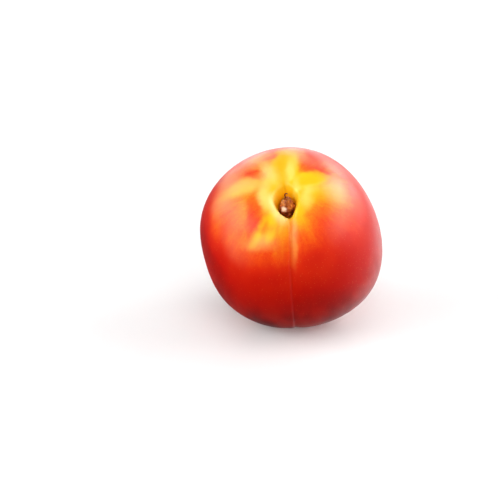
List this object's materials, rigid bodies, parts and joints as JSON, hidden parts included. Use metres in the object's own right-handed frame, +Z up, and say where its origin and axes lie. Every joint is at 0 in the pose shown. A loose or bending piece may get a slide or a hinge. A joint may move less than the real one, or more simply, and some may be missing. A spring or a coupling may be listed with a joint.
{
  "type": "peach",
  "caption": "Whole ripe nectarine, the smooth-skinned peach, resting on a small flat with its stem end leaning forward and a dry stem stub in the hollow.",
  "frame": {"origin": "on the surface the fruit rests on, under the middle of its outline", "axes": "+Z up; +X across the two cheeks; the stem end leans 35 degrees from +Z towards -Y, so the suture faces -Y"},
  "size_m": [0.0694, 0.068, 0.0664],
  "materials": {
    "skin": "smooth waxy fruit skin, red over orange, yellow round the stem hollow",
    "stem": "dry brown bark and broken wood"
  },
  "bodies": {
    "root": {"fruit": "skin", "stem_stub": "stem"}
  },
  "joints": []
}
